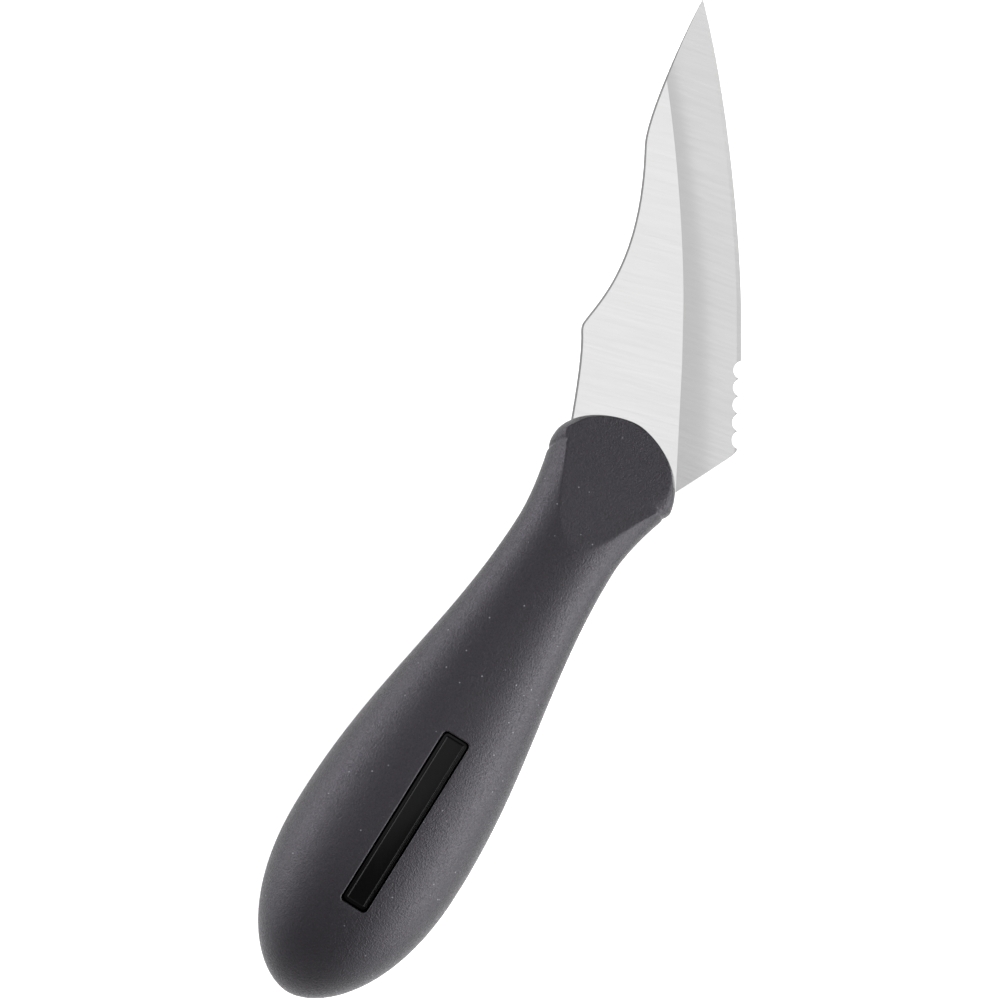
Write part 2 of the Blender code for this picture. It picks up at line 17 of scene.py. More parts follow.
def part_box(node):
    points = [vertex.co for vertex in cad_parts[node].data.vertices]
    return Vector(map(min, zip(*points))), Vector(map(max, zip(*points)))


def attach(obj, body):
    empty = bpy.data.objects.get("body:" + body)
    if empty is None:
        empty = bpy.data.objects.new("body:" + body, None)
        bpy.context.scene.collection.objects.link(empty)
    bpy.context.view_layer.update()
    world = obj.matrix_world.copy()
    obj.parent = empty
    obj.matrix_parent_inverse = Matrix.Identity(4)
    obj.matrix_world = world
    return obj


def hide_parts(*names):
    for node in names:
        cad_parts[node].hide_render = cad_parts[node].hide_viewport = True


MM = 0.001

# Lengths of the grip, from the butt to the front of its lip
BUTT_LENGTH = 30.1 * MM
TAPER_LENGTH = 61.0 * MM
FLARE_LENGTH = 13.5 * MM
NOSE_LENGTH = 10.25 * MM

# Widths and thicknesses of the grip where it swells and narrows
BULGE_WIDTH = 31.9 * MM
BULGE_THICKNESS = 23.6 * MM
WAIST_WIDTH = 19.05 * MM
WAIST_THICKNESS = 13.2 * MM
LIP_WIDTH = 24.2 * MM
LIP_THICKNESS = 15.8 * MM

# How the grip's outline runs between those places: how late it closes at an end, how full it is there,
# how it tapers and flares, and how full its cross-section is
BUTT_LATENESS = 2.2
BUTT_FULLNESS = 1.8
NOSE_LATENESS = 2.15
NOSE_FULLNESS = 1.65
TAPER_EASE = 1.04
WIDTH_FLARE_POWER = 1.65
THICKNESS_FLARE_EASE = 5.0
SECTION_FULLNESS = 2.4

# How far the lip's middle lies off the handle's axis, and how far the nose swings back
LIP_SHIFT = 0.32 * MM
NOSE_SHIFT = 0.5 * MM
NOSE_SHIFT_EASE = 3.0

# Crease behind the lip, which leans forward on its way up to the facet
CREASE_SETBACK = 1.3 * MM
CREASE_DEPTH = 0.18 * MM
CREASE_WIDTH = 1.4 * MM
CREASE_LEAN_SPINE = 3.1 * MM
CREASE_LEAN_EDGE = 1.0 * MM
CREASE_LEAN_LENGTH = 6.5 * MM

# Flat thumb facet on each side of the neck, with a slightly rounded edge, and the round-over of the lip
FACET_LENGTH = 23.2 * MM
FACET_ANGLE = math.radians(9.4)
FACET_TILT = math.radians(2.8)
FACET_BLEND = 0.14 * MM
LIP_BLEND = 2.4 * MM
LIP_BLEND_RISE = 1.6 * MM
LIP_BLEND_AHEAD = 8.0 * MM
LIP_BLEND_SIDE = 6.0 * MM
RIM_RADIUS = 0.5 * MM

# Window in the rubber, the flare of its rim, and the panel in it with its raised border
WINDOW_LENGTH = 34.0 * MM
WINDOW_WIDTH = 5.1 * MM
WINDOW_CORNER = 0.8 * MM
WINDOW_PAST_BULGE = 6.0 * MM
WINDOW_SIDE_SHIFT = 1.7 * MM
WINDOW_DEPTH = 0.5 * MM
WINDOW_RIM = 0.22 * MM
WINDOW_CLEARANCE = WINDOW_RIM / 5
PANEL_BORDER_INSET = 0.45 * MM
PANEL_BORDER_WIDTH = 0.3 * MM
PANEL_BORDER_HEIGHT = 0.12 * MM
PANEL_EDGE_BAND = 0.9 * MM
PANEL_ROUND = 0.15 * MM
PANEL_SKIRT = 1.3 * MM

# Walls and clearances
GRIP_WALL = 2.6 * MM
FIT_GAP = 0.3 * MM
CORE_SETBACK = 4.5 * MM

# Blade's stock and how it stands in the handle
BLADE_THICKNESS = 1.5 * MM
BLADE_ANGLE = math.radians(32.0)
BLADE_DROP = 0.7 * MM

# Blade's outline, along and across the blade, from where its frame crosses the lip
TIP_ALONG = 82.2 * MM
TIP_DROP = 15.5 * MM
TIP_SPINE_SLOPE = 0.6
TIP_EDGE_SLOPE = 0.267
HUMP_ALONG = 56.8 * MM
HUMP_DROP = 5.46 * MM
HUMP_SLOPE = 0.03
KNEE_ALONG = 26.75 * MM
KNEE_RISE = 4.95 * MM
KNEE_SLOPE = 0.72
KNEE_LENGTH = 2.5 * MM
SHOULDER_RISE = 5.43 * MM
ROOT_ALONG = 7.0 * MM
ROOT_RISE = 7.65 * MM
ROOT_SLOPE = 0.16
EDGE_DROP = 22.1 * MM
EDGE_CURVE_ALONG = 27.8 * MM
HEEL_ALONG = 4.4 * MM
HEEL_DROP = 21.7 * MM
HEEL_CORNER = 1.4 * MM
HEEL_FOOT_ALONG = -4.2 * MM
HEEL_FOOT_DROP = 9.1 * MM

# How far each end of a curve of the outline keeps its slope
TIP_SPINE_REACH = 3.1 * MM
HUMP_TIP_REACH = 5.5 * MM
HUMP_KNEE_REACH = 19.9 * MM
KNEE_HUMP_REACH = 3.6 * MM
SHOULDER_REACH = 5.0 * MM
TIP_EDGE_REACH = 15.3 * MM
EDGE_REACH = 13.6 * MM

# Grinding of the edge, how far the wheel reaches past it, and the scallops
GRIND_WIDTH_HEEL = 10.8 * MM
GRIND_WIDTH_TIP = 8.7 * MM
HOLLOW_DEPTH = 0.12 * MM
BEVEL_WIDTH = 0.8 * MM
BEVEL_THICKNESS = 0.22 * MM
EDGE_THICKNESS = 0.08 * MM
EDGE_OVERRUN = 0.25 * MM
SERRATION_COUNT = 5
SERRATION_PITCH = 3.0 * MM
SERRATION_RADIUS = 1.6 * MM
SERRATION_OUTSET = 0.3 * MM
SERRATION_SETBACK = 2.0 * MM

# How far the blank's sides draw in towards its flats, by what curve, and how near the tip that ends
SIDE_INSET = 0.36 * MM
SIDE_CURVE = 0.75
TIP_CLEARANCE = 1.5 * MM

# Tang, and the pins that lock it in the core
TANG_SETBACK = 3.5 * MM
TANG_LENGTH = 41.0 * MM
TANG_WIDTH = 10.0 * MM
TANG_CORNER = 3.0 * MM
TANG_FILLET = 2.5 * MM
PIN_DIAMETER = 3.0 * MM
FRONT_PIN_SETBACK = 14.0 * MM
REAR_PIN_SETBACK = 33.0 * MM

# Pattern of the steel: the grain's directions on the knife's side, the sizes of its streaks, how much each
# kind of streak adds, the stretches of the pattern that are used, and how far it darkens, roughens and lifts
FLAT_GRAIN_TURN = math.radians(-73.0)
GROUND_GRAIN_TURN = math.radians(-78.0)
GRAIN_LENGTH = 7.0 * MM
GRAIN_WIDTH = 0.1 * MM
WISP_LENGTH = 14.0 * MM
WISP_WIDTH = 0.7 * MM
CLOUD_LENGTH = 18.0 * MM
CLOUD_WIDTH = 5.0 * MM
GRAIN_IN_TONE = 0.35
CLOUDS_IN_TONE = 0.4
WISPS_IN_HEIGHT = 0.6
STEEL_CONTRAST = 0.07
STEEL_TONE_RANGE = (0.6, 1.15)
STEEL_ROUGHNESS_RANGE = (0.25, 0.75)
STEEL_ROUGHEST = 1.2
STEEL_SMOOTHEST = 0.85
FLAT_GRAIN_HEIGHT = 0.0009 * MM
GROUND_GRAIN_HEIGHT = 0.0012 * MM
SIDE_GRAIN_HEIGHT = 0.001 * MM

# Pattern of the rubber: its fine grain, and the pale specks in a few of the cells that it is parted into
RUBBER_GRAIN = 0.32 * MM
RUBBER_BUMP = 0.11 * MM
RUBBER_TONE_RANGE = (0.35, 0.65)
RUBBER_ROUGHNESS_RANGE = (0.3, 0.7)
RUBBER_ROUGHNESS_SPREAD = 0.35
SPECK_SPACING = 0.9 * MM
SPECK_TURN = 0.6
SPECK_CORE = 0.08
SPECK_RIM = 0.2
SPECK_RARITY = 0.93
SPECK_SOFTNESS = 0.03

# Pattern of the glossy plastic: a slight waviness, and faint scuffs that are a little rougher
PANEL_WAVE = 6.0 * MM
PANEL_WAVE_HEIGHT = 0.01 * MM
SCUFF_LENGTH = 5.0 * MM
SCUFF_WIDTH = 0.2 * MM
SCUFF_RANGE = (0.4, 0.75)
SCUFF_ROUGHER = 1.6

# Colours and how rough each finish is
FLAT_SHADE = (0.735, 0.735, 0.735)
GROUND_SHADE = (0.625, 0.625, 0.625)
BEVEL_SHADE = (0.65, 0.65, 0.65)
# Spine side: its rough sheared face is duller, and its very dark colour is also painted shade for the dark it
# reflects
SPINE_PAINTED_SHADE = (0.14, 0.14, 0.14)
PIN_SHADE = (0.6, 0.6, 0.62)
RUBBER_DARK = (0.0005, 0.0003, 0.0007)
RUBBER_LIGHT = (0.0085, 0.007, 0.0095)
RUBBER_SPECK = (0.14, 0.14, 0.15)
PANEL_BLACK = (0.002, 0.002, 0.0022)
FLAT_ROUGHNESS = 0.11
GROUND_ROUGHNESS = 0.11
BEVEL_ROUGHNESS = 0.16
SIDE_ROUGHNESS = 0.4
PIN_ROUGHNESS = 0.3
RUBBER_ROUGHNESS = 0.44
RUBBER_IOR = 1.485
RUBBER_SHINE = (0.94, 0.915, 1.0)
RUBBER_SHEEN = 0.01
RUBBER_SHEEN_ROUGHNESS = 0.5
PANEL_ROUGHNESS = 0.16
PANEL_SPECULAR = 0.14

# Studio: the floor and how much brighter it is seen than lit, the ceiling, and the walls up to a height angle
FLOOR_SHADE = (0.9, 0.9, 0.9)
FLOOR_GLOW = 0.5
CEILING_SHADE = (0.08, 0.08, 0.08)
WALL_SHADE = (0.52, 0.52, 0.52)
WALL_TOP = math.radians(26.0)
WALL_FADE = math.radians(20.0)

# Soft lights: name, place (to the picture's right, up in it, and height), size to the right and up, lean to
# the right, how bright, colour
SOFTBOXES = (
    ("overhead", (0.05, 0.525, 1.5), (1.3, 1.35), 0.0, 0.79, (1.0, 1.0, 1.0)),
    ("overhead_left", (0.1275, 0.5, 1.44), (0.76, 1.5), math.radians(30.0), 0.25, (1.0, 1.0, 1.0)),
    ("right", (0.98, -0.4, 0.62), (1.15, 1.7), 0.0, 6.3, (1.0, 1.0, 1.0)),
    ("left", (-1.05, 0.53, 0.42), (0.66, 1.5), 0.0, 6.2, (0.98, 0.97, 1.0)),
    ("left_high", (-0.72, 0.4, 1.14), (0.5, 1.4), 0.0, 1.1, (1.0, 1.0, 1.0)),
)

# Fineness of the surfaces
BUTT_STEPS = 46
TAPER_STEPS = 96
FLARE_STEPS = 44
CREASE_STEPS = 12
NOSE_STEPS = 40
FLANK_STEPS = 34
TOP_STEPS = 44
HOLLOW_COARSENESS = 4
PANEL_STEPS = 26
EDGE_HALVINGS = 34
CURVE_STEPS = 44
CORNER_STEPS = 9
ROUND_SIDES = 56
GRIND_STEPS = 24
TOOTH_STEPS = 18
SIDE_STEPS = 4
RIM_STEPS = 5
OUTLINE_STEP = 0.6 * MM

# How points crowd towards an end and round a corner, how many faces are a loft's ends, and when a face counts
# as flat and an edge as sharp
POLE_SHARE = 0.12
FLANK_CLUSTER = 1.35
STEEPEST_FACET_EDGE = math.radians(80.0)
CORNER_PULL = 0.55
LOFT_ENDS = 2
FLAT_FACE = 0.9995
SMOOTH_ANGLE = math.radians(32.0)

# Stations along the handle, worked out from the lengths
BULGE_AT = BUTT_LENGTH
WAIST_AT = BULGE_AT + TAPER_LENGTH
LIP_AT = WAIST_AT + FLARE_LENGTH
FRONT_AT = LIP_AT + NOSE_LENGTH
FACET_AT = FRONT_AT - FACET_LENGTH
CREASE_AT = LIP_AT - CREASE_SETBACK
CORE_FRONT_AT = LIP_AT - CORE_SETBACK
TANG_FRONT_AT = LIP_AT - TANG_SETBACK
TANG_END_AT = TANG_FRONT_AT - TANG_LENGTH
FRONT_PIN_AT = TANG_FRONT_AT - FRONT_PIN_SETBACK
REAR_PIN_AT = TANG_FRONT_AT - REAR_PIN_SETBACK

# Camera: the width of the photograph's frame at the height of the blade, and the point that its middle looks
# at, along the handle from the butt and across it towards the spine's side
VIEW_WIDTH = 171.76 * MM
VIEW_STATION = 91.03 * MM
VIEW_ACROSS = 13.65 * MM
VIEW_TURN = math.radians(32.0)
CAMERA_DISTANCE = 1.1
SENSOR_WIDTH = 36.0
FLOOR_REACH = 3.0


# Flat outlines


def circle(centre, diameter):
    """A regular outline that goes round a centre."""
    turns = [2 * math.pi * side / ROUND_SIDES for side in range(ROUND_SIDES)]
    return [centre + Vector((math.cos(turn), math.sin(turn))) * diameter / 2 for turn in turns]


def rounded_corner(before, corner, after, reach):
    """Points that replace a sharp corner by a curve."""
    start = corner + (before - corner).normalized() * reach
    end = corner + (after - corner).normalized() * reach
    leaving = start.lerp(corner, CORNER_PULL)
    arriving = end.lerp(corner, CORNER_PULL)
    return interpolate_bezier(start, leaving, arriving, end, CORNER_STEPS)


def rounded_rectangle(centre, length, width, corner_radius):
    """An outline along the handle with round corners."""
    corners = [
        centre + Vector((side_x * length / 2, side_y * width / 2))
        for side_x, side_y in ((1, 1), (-1, 1), (-1, -1), (1, -1))
    ]
    outline = []
    for index, corner in enumerate(corners):
        outline += rounded_corner(corners[index - 1], corner, corners[(index + 1) % 4], corner_radius)
    return outline


def refined(outline, longest):
    """The outline with points added wherever two are further apart than this."""
    fine = []
    for here, after in zip(outline, outline[1:] + outline[:1]):
        parts = max(1, math.ceil((after - here).length / longest))
        fine += [here.lerp(after, part / parts) for part in range(parts)]
    return fine


def grown(outline, gap):
    """The outline moved outwards by a gap on every side, or inwards where the gap is negative."""
    turning = sum(a.x * b.y - b.x * a.y for a, b in zip(outline, outline[1:] + outline[:1]))
    outwards = 1 if turning > 0 else -1
    moved = []
    for index, point in enumerate(outline):
        arriving = (point - outline[index - 1]).normalized()
        leaving = (outline[(index + 1) % len(outline)] - point).normalized()
        normal = Vector((arriving.y + leaving.y, -arriving.x - leaving.x)).normalized() * outwards
        facing = normal.dot(Vector((arriving.y, -arriving.x)) * outwards)
        moved.append(point + normal * gap / facing)
    return moved


# Meshes


def new_object(name, data):
    """An object with this mesh, lamp or camera, linked to the scene."""
    made = bpy.data.objects.new(name, data)
    bpy.context.scene.collection.objects.link(made)
    return made


def new_mesh_object(name, points, faces, materials=()):
    """An object with this closed mesh, in the handle's frame."""
    mesh = bpy.data.meshes.new(name)
    shape = bmesh.new()
    corners = [shape.verts.new(point) for point in points]
    for face in faces:
        shape.faces.new([corners[index] for index in face])
    bmesh.ops.recalc_face_normals(shape, faces=shape.faces)
    shape.to_mesh(mesh)
    shape.free()
    for material in materials:
        mesh.materials.append(material)
    return new_object(name, mesh)


def loft(name, rings, materials=()):
    """A closed skin through rings of equally many points. Its two flat ends are its first faces."""
    count = len(rings[0])
    points = [point for ring in rings for point in ring]
    faces = [tuple(range(count)), tuple(range(len(points) - count, len(points)))]
    for ring in range(len(rings) - 1):
        for side in range(count):
            here = ring * count + side
            beside = ring * count + (side + 1) % count
            faces.append((here, beside, beside + count, here + count))
    return new_mesh_object(name, points, faces, materials)


def plate(name, outline, bottom, top, materials=()):
    """A flat outline given a thickness."""
    rings = [[(point.x, point.y, height) for point in outline] for height in (bottom, top)]
    return loft(name, rings, materials)


def combine(solid, helper, operation):
    """Cuts, joins or trims a solid by a helper, which is then gone."""
    modifier = solid.modifiers.new(helper.name, "BOOLEAN")
    modifier.operation = operation
    modifier.object = helper
    modifier.solver = "EXACT"
    modifier.material_mode = "TRANSFER"
    graph = bpy.context.evaluated_depsgraph_get()
    result = bpy.data.meshes.new_from_object(solid.evaluated_get(graph), depsgraph=graph)
    solid.modifiers.remove(modifier)
    solid.data = result
    bpy.data.objects.remove(helper)


def join(piece, other):
    """Adds another piece's mesh to a piece. The other is then gone."""
    shape = bmesh.new()
    shape.from_mesh(piece.data)
    shape.from_mesh(other.data)
    shape.to_mesh(piece.data)
    shape.free()
    bpy.data.objects.remove(other)


def settle(piece, node, origin):
    """Puts a finished piece in the row frame, inside its solid's box, and lets it stand for that solid."""
    piece.data.transform(Matrix.Translation(origin))
    lowest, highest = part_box(node)
    corners = [vertex.co for vertex in piece.data.vertices]
    for axis in range(3):
        low = min(corner[axis] for corner in corners)
        high = max(corner[axis] for corner in corners)
        share = min(1.0, (highest[axis] - lowest[axis]) / (high - low))
        start = max(lowest[axis], min(low, highest[axis] - (high - low) * share))
        for corner in corners:
            corner[axis] = start + (corner[axis] - low) * share
    piece.data.shade_smooth()
    piece.data.set_sharp_from_angle(angle=SMOOTH_ANGLE)
    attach(piece, "root")
    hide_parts(node)


# Grip's skin


def eased(start, end, share, ease):
    """A size that leaves one value and reaches the next without a kink."""
    return end + (start - end) * (1 + math.cos(math.pi * share**ease)) / 2


def closing(share, lateness, fullness):
    """How much of a size is left at a share of the way to the end where it closes."""
    return (1 - share**lateness) ** (1 / fullness)


def size_behind_waist(station, bulge, waist, depth):
    """Half the grip's width or thickness between the butt and the waist, at a depth under the skin."""
    if station < BULGE_AT:
        share = (BULGE_AT - station) / (BULGE_AT - depth)
        return (bulge / 2 - depth) * closing(share, BUTT_LATENESS, BUTT_FULLNESS)
    return eased(bulge, waist, (station - BULGE_AT) / TAPER_LENGTH, TAPER_EASE) / 2 - depth


def flare_share(station):
    """How far a station lies on the way from the waist to the lip."""
    return min(1.0, max(0.0, (station - WAIST_AT) / FLARE_LENGTH))


def crease(station, depth):
    """Depth of the crease at a station of the outer skin, with soft shoulders."""
    if depth > 0:
        return 0.0
    off_crease = min(1.0, abs(station - CREASE_AT) / (CREASE_WIDTH / 2))
    return CREASE_DEPTH * (1 + math.cos(math.pi * off_crease)) / 2


def skin_half_width(station, depth):
    """Half the body's width at a station, at a depth under the skin."""
    if station < WAIST_AT:
        return size_behind_waist(station, BULGE_WIDTH, WAIST_WIDTH, depth)
    width = WAIST_WIDTH + (LIP_WIDTH - WAIST_WIDTH) * flare_share(station) ** WIDTH_FLARE_POWER
    half = width / 2 - crease(station, depth) - depth
    if station <= LIP_AT:
        return half
    return half * closing((station - LIP_AT) / NOSE_LENGTH, NOSE_LATENESS, NOSE_FULLNESS)


def skin_middle(station):
    """Where the skin's middle lies: off to the edge's side at the lip, and back again at the nose."""
    middle = -LIP_SHIFT * flare_share(station) ** WIDTH_FLARE_POWER
    if station > LIP_AT:
        middle += NOSE_SHIFT * (1 - (1 - (station - LIP_AT) / NOSE_LENGTH) ** NOSE_SHIFT_EASE)
    return middle


def skin_half_height(station, depth):
    """Half the body's thickness at a station, at a depth under the skin, before the facet is cut."""
    if station < WAIST_AT:
        return size_behind_waist(station, BULGE_THICKNESS, WAIST_THICKNESS, depth)
    thickness = eased(WAIST_THICKNESS, LIP_THICKNESS, flare_share(station), THICKNESS_FLARE_EASE)
    return thickness / 2 - crease(station, depth) - depth


def facet_height(station, across, depth):
    """Height of the thumb facet's plane, which dips round the lip at its very front."""
    height = WAIST_THICKNESS / 2 - depth
    height += math.tan(FACET_TILT) * across - math.tan(FACET_ANGLE) * (station - FACET_AT)
    into_rim = (station - FRONT_AT) / RIM_RADIUS + 1
    if into_rim > 0:
        height -= RIM_RADIUS * (1 - math.sqrt(1 - min(1.0, into_rim) ** 2))
    return height


def full_height(station, across, depth):
    """Height of the full section before the facet is cut, at a place across it."""
    offset = min(1.0, abs(across - skin_middle(station)) / skin_half_width(station, depth))
    return skin_half_height(station, depth) * (1 - offset**SECTION_FULLNESS) ** (1 / SECTION_FULLNESS)


def smooth(share):
    """A share kept between zero and one, without a kink at either."""
    share = min(1.0, max(0.0, share))
    return share * share * (3 - 2 * share)


def facet_blend(station, across, depth):
    """How far the facet's corner is rounded: a little, and more round the outer lip on the edge's side."""
    if depth > 0:
        return FACET_BLEND
    rise = smooth((station - CREASE_AT) / LIP_BLEND_RISE)
    fall = smooth(1 - (station - LIP_AT) / LIP_BLEND_AHEAD)
    beside = smooth(-across / LIP_BLEND_SIDE)
    return FACET_BLEND + (LIP_BLEND - FACET_BLEND) * rise * fall * beside


def blended(full, facet, blend):
    """The lower of two heights, with the corner between them rounded."""
    overlap = max(0.0, blend - abs(full - facet)) / blend
    return min(full, facet) - overlap * overlap * blend / 4


def crease_lean(station, side, depth):
    """How far a ring of the outer skin leans forward at the facet's edge. The hollows inside stay square."""
    if station < WAIST_AT or depth > 0:
        return 0.0
    reach = CREASE_LEAN_SPINE if side > 0 else CREASE_LEAN_EDGE
    if station < CREASE_AT:
        return reach * smooth((station - WAIST_AT) / (CREASE_AT - WAIST_AT))
    return reach * (1 - smooth((station - CREASE_AT) / CREASE_LEAN_LENGTH))


def section_point(station, turn, side, depth):
    """A point of the full section before the facet is cut: across the handle, and height."""
    power = 2 / SECTION_FULLNESS
    across = skin_middle(station) + side * skin_half_width(station, depth) * math.cos(turn) ** power
    return across, skin_half_height(station, depth) * math.sin(turn) ** power


def facet_edge_turn(station, side, depth):
    """The turn round the section at which the facet cuts it."""
    leaned = station + crease_lean(station, side, depth)

    def above_facet(turn):
        across, height = section_point(station, turn, side, depth)
        return height > facet_height(leaned, across, depth)

    low = 0.0
    high = STEEPEST_FACET_EDGE
    if not above_facet(high):
        return high
    for _ in range(EDGE_HALVINGS):
        middle = (low + high) / 2
        if above_facet(middle):
            high = middle
        else:
            low = middle
    return high


def flank(station, side, depth, steps):
    """Points of one side of the section, from the outline up to the facet's edge, closest together there."""
    edge_turn = facet_edge_turn(station, side, depth)
    lean = crease_lean(station, side, depth)
    points = []
    for step in range(steps + 1):
        share = 1 - (1 - step / steps) ** FLANK_CLUSTER
        across, height = section_point(station, edge_turn * share, side, depth)
        along = station + lean * share
        blend = facet_blend(along, across, depth)
        points.append((along, across, blended(height, facet_height(along, across, depth), blend)))
    return points


def section_top(station, start, end, depth, steps):
    """Points across the top of the section between the ends of its flanks, closest together at both."""
    points = []
    for step in range(1, steps):
        share = (1 - math.cos(math.pi * step / steps)) / 2
        along = start[0] + (end[0] - start[0]) * share
        across = start[1] + (end[1] - start[1]) * share
        blend = facet_blend(along, across, depth)
        height = blended(full_height(station, across, depth), facet_height(along, across, depth), blend)
        points.append((along, across, height))
    return points


def skin_ring(station, depth, flank_steps, top_steps):
    """One closed ring of the skin, with a row of points where each edge of the facet runs."""
    spine_side = flank(station, 1, depth, flank_steps)
    edge_side = flank(station, -1, depth, flank_steps)
    top = section_top(station, spine_side[-1], edge_side[-1], depth, top_steps)
    upper = spine_side + top + edge_side[::-1]
    lower = [(x, y, -z) for x, y, z in reversed(upper[1:-1])]
    return upper + lower


def body_stations(depth, front_at, coarseness):
    """Stations from the butt to the front of a body, closer together where it closes or turns."""
    radius = BULGE_AT - depth
    butt = BUTT_STEPS // coarseness
    turns = [(step + POLE_SHARE) / (butt + POLE_SHARE) * math.pi / 2 for step in range(butt)]
    stations = [BULGE_AT - radius * math.cos(turn) for turn in turns]
    crease_from = CREASE_AT - CREASE_WIDTH / 2
    crease_to = CREASE_AT + CREASE_WIDTH / 2
    for start, end, steps in (
        (BULGE_AT, WAIST_AT, TAPER_STEPS),
        (WAIST_AT, crease_from, FLARE_STEPS),
        (crease_from, crease_to, CREASE_STEPS),
        (crease_to, LIP_AT, CREASE_STEPS // 4),
    ):
        parts = max(1, steps // coarseness)
        stations += [start + (end - start) * part / parts for part in range(parts)]
    nose = NOSE_STEPS // coarseness
    turns = [math.pi / 2 * step / (nose + POLE_SHARE) for step in range(nose + 1)]
    stations += [LIP_AT + NOSE_LENGTH * math.sin(turn) for turn in turns]
    inside = [station for station in stations if station < front_at - FIT_GAP]
    if front_at < FRONT_AT:
        inside.append(front_at)
        return inside
    return stations


def skin_body(name, depth, front_at, coarseness, materials=()):
    """The grip's form at a depth under its skin."""
    flank_steps = FLANK_STEPS // coarseness
    top_steps = TOP_STEPS // coarseness
    stations = body_stations(depth, front_at, coarseness)
    return loft(name, [skin_ring(station, depth, flank_steps, top_steps) for station in stations], materials)


# Blade's outline


def on_blade(along, across):
    """A point given in the blade's frame, placed in the handle's."""
    turn = Matrix.Rotation(BLADE_ANGLE, 2)
    return Vector((LIP_AT, -BLADE_DROP)) + turn @ Vector((along, across))


def outline_curve(start, start_slope, start_reach, end, end_slope, end_reach):
    """Points from start to end, given in the blade's frame. A slope is the rise on the way to the handle."""
    leaving = (start[0] - start_reach, start[1] + start_reach * start_slope)
    arriving = (end[0] + end_reach, end[1] - end_reach * end_slope)
    knots = [on_blade(*point) for point in (start, leaving, arriving, end)]
    return interpolate_bezier(*knots, CURVE_STEPS)


def spine_outline():
    """From the tip over the hump, down the hollow of the spine and round the knee to the root."""
    tip = (TIP_ALONG, -TIP_DROP)
    hump = (HUMP_ALONG, -HUMP_DROP)
    knee = (KNEE_ALONG, KNEE_RISE)
    shoulder = (KNEE_ALONG - KNEE_LENGTH, SHOULDER_RISE)
    root = (ROOT_ALONG, ROOT_RISE)
    clip = outline_curve(tip, TIP_SPINE_SLOPE, TIP_SPINE_REACH, hump, HUMP_SLOPE, HUMP_TIP_REACH)
    hollow = outline_curve(hump, HUMP_SLOPE, HUMP_KNEE_REACH, knee, KNEE_SLOPE, KNEE_HUMP_REACH)
    bend = outline_curve(knee, KNEE_SLOPE, KNEE_LENGTH / 3, shoulder, 0.0, KNEE_LENGTH / 3)
    ramp = outline_curve(shoulder, 0.0, SHOULDER_REACH, root, ROOT_SLOPE, SHOULDER_REACH)
    return clip[:-1] + hollow[:-1] + bend[:-1] + ramp


def tang_outline(root, heel_foot):
    """From the blade's root round the tang to the foot of the heel."""
    side = TANG_WIDTH / 2
    spine_front = Vector((TANG_FRONT_AT, side))
    spine_end = Vector((TANG_END_AT, side))
    edge_end = Vector((TANG_END_AT, -side))
    edge_front = Vector((TANG_FRONT_AT, -side))
    inwards = Vector((TANG_FILLET, 0.0))
    outline = interpolate_bezier(root, root - inwards, spine_front + inwards, spine_front, CORNER_STEPS)[1:]
    outline += rounded_corner(spine_front, spine_end, edge_end, TANG_CORNER)
    outline += rounded_corner(spine_end, edge_end, edge_front, TANG_CORNER)
    leaving = edge_front + inwards
    return outline + interpolate_bezier(edge_front, leaving, heel_foot - inwards, heel_foot, CORNER_STEPS)


def serration_end():
    """Where the scalloped stretch of the edge ends and the belly begins."""
    return on_blade(HEEL_ALONG + SERRATION_COUNT * SERRATION_PITCH, -EDGE_DROP)


def edge_outline():
    """From the heel along the straight stretch and up the belly to the tip, without the scallops."""
    tip = (TIP_ALONG, -TIP_DROP)
    belly = (EDGE_CURVE_ALONG, -EDGE_DROP)
    curve = outline_curve(tip, -TIP_EDGE_SLOPE, TIP_EDGE_REACH, belly, 0.0, EDGE_REACH)
    return [on_blade(HEEL_ALONG, -HEEL_DROP), serration_end()] + curve[::-1]


def blade_outline():
    """The whole blank, blade and tang, before it is ground."""
    spine = spine_outline()
    heel_foot = on_blade(HEEL_FOOT_ALONG, -HEEL_FOOT_DROP)
    edge = edge_outline()
    heel = rounded_corner(heel_foot, edge[0], edge[1], HEEL_CORNER)
    return spine + tang_outline(spine[-1], heel_foot) + heel + edge[1:-1]


# Grinding and serrations


def ground_half_thickness(distance, width):
    """Half the blade's thickness at a distance from the edge. Past the band it goes on as the wheel does."""
    bevel = BEVEL_THICKNESS / 2
    edge = EDGE_THICKNESS / 2
    if distance <= BEVEL_WIDTH:
        return edge + (bevel - edge) * distance / BEVEL_WIDTH
    share = (distance - BEVEL_WIDTH) / (width - BEVEL_WIDTH)
    return bevel + (BLADE_THICKNESS / 2 - bevel) * share - 4 * HOLLOW_DEPTH * share * (1 - share)


def grind_ring(foot, inwards, width, side):
    """The wheel's cross-section at one place on the edge, above the blade or below it."""
    shares = [step / GRIND_STEPS for step in range(1, GRIND_STEPS + 2)]
    distances = [-EDGE_OVERRUN, BEVEL_WIDTH]
    distances += [BEVEL_WIDTH + (width - BEVEL_WIDTH) * share for share in shares]
    ring = []
    for distance in distances:
        place = foot + inwards * distance
        ring.append((place.x, place.y, side * ground_half_thickness(distance, width)))
    for distance in (distances[-1], distances[0]):
        place = foot + inwards * distance
        ring.append((place.x, place.y, side * 2 * BLADE_THICKNESS))
    return ring


